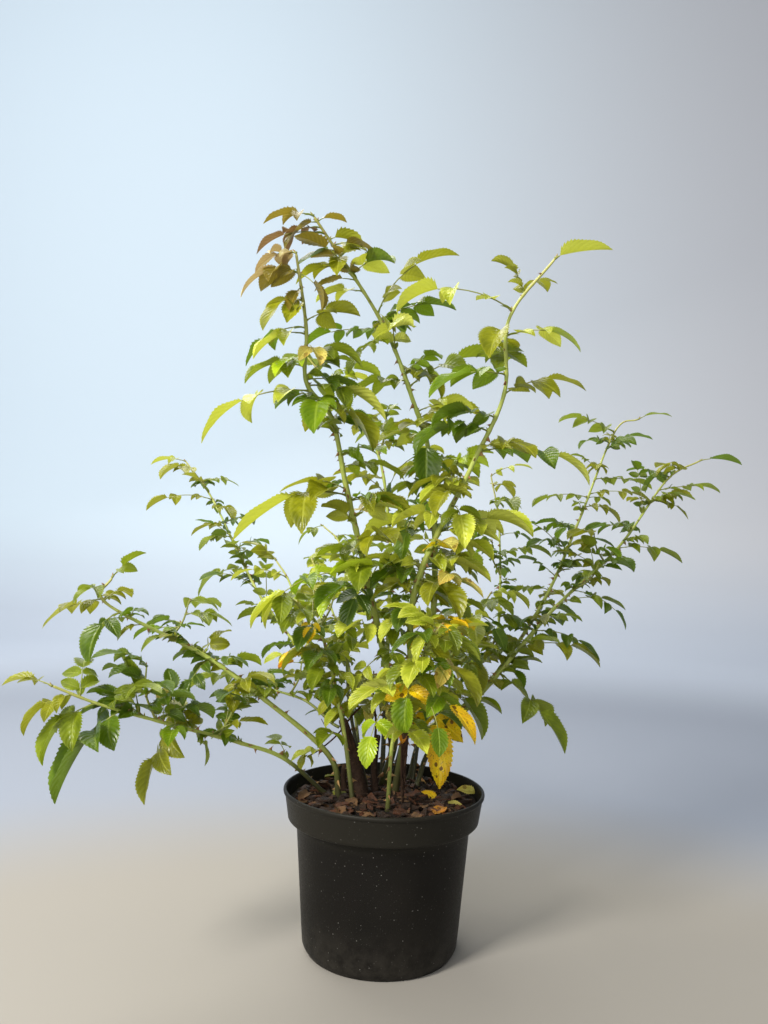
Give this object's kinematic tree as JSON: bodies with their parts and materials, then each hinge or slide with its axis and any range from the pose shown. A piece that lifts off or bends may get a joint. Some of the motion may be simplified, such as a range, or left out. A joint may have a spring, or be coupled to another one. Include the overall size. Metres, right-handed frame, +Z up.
{
  "type": "potted rose bush",
  "caption": "Shrub rose with arching green canes and autumn-tinted leaves in a round black nursery pot, standing on the pot's flat underside.",
  "frame": {"origin": "middle of the pot's flat underside", "axes": "+Z up, -Y towards the plant's front, +X to its right as seen from the front"},
  "size_m": [0.8495, 0.5366, 0.7728],
  "materials": {
    "pot": "matte black moulded plastic with a little pale dust",
    "soil": "rough moist bark compost",
    "old_wood": "rough dry bark",
    "canes": "smooth green bark, reddish where the sun reaches it",
    "foliage": "satin leaf"
  },
  "bodies": {
    "root": {"pot": "pot", "soil": "soil", "stump_left": "old_wood", "stump_middle": "old_wood", "stump_dead": "old_wood", "bough_left_low": "canes", "bough_left_mid": "canes", "bough_left_thin": "canes", "bough_left_back": "canes", "bough_left_inner": "canes", "bough_left_front": "canes", "bough_middle_thin": "canes", "bough_middle_back": "canes", "bough_tall_left": "canes", "bough_tall_middle": "canes", "bough_tall_right": "canes", "bough_right_back": "canes", "bough_right_far": "canes", "bough_right_thin": "canes", "bough_front_short": "canes", "bough_back_short": "canes", "bough_right_inner": "canes", "leaves_left_low": "foliage", "leaves_left_mid": "foliage", "leaves_left_thin": "foliage", "leaves_left_back": "foliage", "leaves_left_inner": "foliage", "leaves_left_front": "foliage", "leaves_middle_thin": "foliage", "leaves_middle_back": "foliage", "leaves_tall_left": "foliage", "leaves_tall_middle": "foliage", "leaves_tall_right": "foliage", "leaves_right_back": "foliage", "leaves_right_far": "foliage", "leaves_right_thin": "foliage", "leaves_front_short": "foliage", "leaves_back_short": "foliage", "leaves_right_inner": "foliage"}
  },
  "joints": []
}
